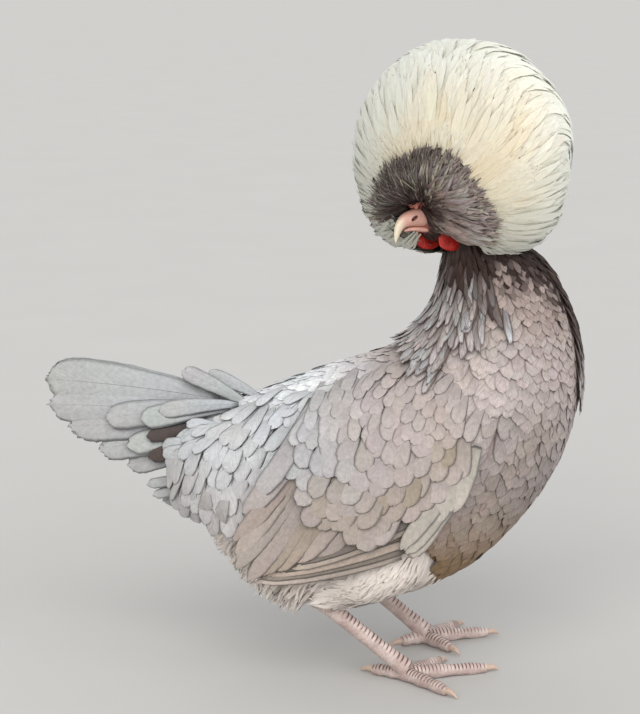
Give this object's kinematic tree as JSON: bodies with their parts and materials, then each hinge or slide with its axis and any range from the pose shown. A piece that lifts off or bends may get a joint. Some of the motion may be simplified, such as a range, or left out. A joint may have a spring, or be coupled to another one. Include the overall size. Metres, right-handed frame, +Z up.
{
  "type": "crested hen",
  "caption": "Life-size standing hen with a large round feather crest, its head turned back over one side, as a still display model.",
  "frame": {"origin": "on the floor, under the middle of the overall box", "axes": "+X the way the breast faces, +Y the bird's left, +Z up"},
  "size_m": [0.3789, 0.1684, 0.4473],
  "materials": {
    "bill_horn": "satin horn",
    "body_feather": "soft, matt",
    "claw": "satin horn",
    "crest_feather": "soft, matt",
    "earlobe": "soft",
    "eye": "wet, glossy",
    "face_skin": "soft",
    "leg_scale": "scaly",
    "neck_feather": "soft, matt",
    "wattle": "soft, slightly moist"
  },
  "bodies": {
    "root": {"bill_lower": "bill_horn", "bill_upper": "bill_horn", "breast": "body_feather", "claw_left_hind": "claw", "claw_left_inner": "claw", "claw_left_middle": "claw", "claw_left_outer": "claw", "claw_right_hind": "claw", "claw_right_inner": "claw", "claw_right_middle": "claw", "claw_right_outer": "claw", "comb": "wattle", "crest": "crest_feather", "earlobe_left": "earlobe", "earlobe_right": "earlobe", "eye_left": "eye", "eye_right": "eye", "head": "face_skin", "leg_left": "leg_scale", "leg_right": "leg_scale", "neck": "neck_feather", "tail": "body_feather", "thigh_left": "body_feather", "thigh_right": "body_feather", "torso": "body_feather", "wattle_left": "wattle", "wattle_right": "wattle", "wing_left": "body_feather", "wing_right": "body_feather"}
  },
  "joints": []
}
